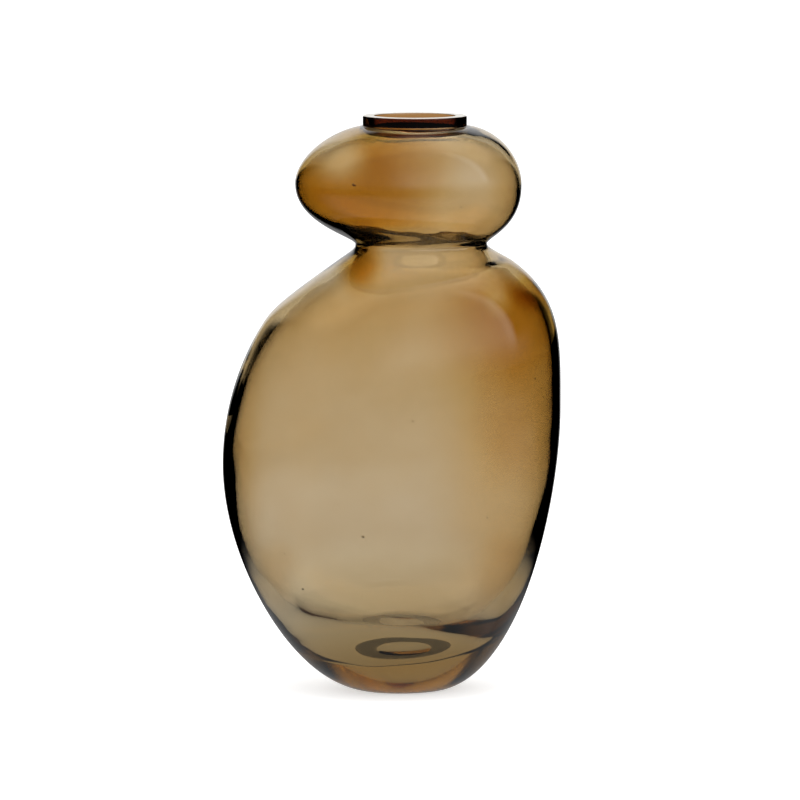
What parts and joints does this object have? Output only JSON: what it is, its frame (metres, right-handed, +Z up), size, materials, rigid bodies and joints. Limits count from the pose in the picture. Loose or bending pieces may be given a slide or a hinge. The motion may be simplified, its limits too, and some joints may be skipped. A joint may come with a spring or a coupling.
{
  "type": "glass vase",
  "caption": "Free-form vase of smoky amber glass: a small rounded upper bulb with a ground rim collar, pinched at the neck, over a large leaning lower bulb on a heavy foot.",
  "frame": {"origin": "centre of the bounding box at the level of the flat foot face that the vase stands on", "axes": "+Z up along the height, +X to the right seen from the front, +Y to the back"},
  "size_m": [0.1644, 0.1414, 0.28],
  "materials": {
    "amber_glass": "smoky amber blown glass, fire-polished, ground at the rim and the foot"
  },
  "bodies": {
    "root": {"foot": "amber_glass", "heel": "amber_glass", "lower_belly": "amber_glass", "upper_belly": "amber_glass", "shoulder": "amber_glass", "neck": "amber_glass", "upper_bulb_base": "amber_glass", "upper_bulb_crown": "amber_glass", "rim_collar": "amber_glass"}
  },
  "joints": []
}
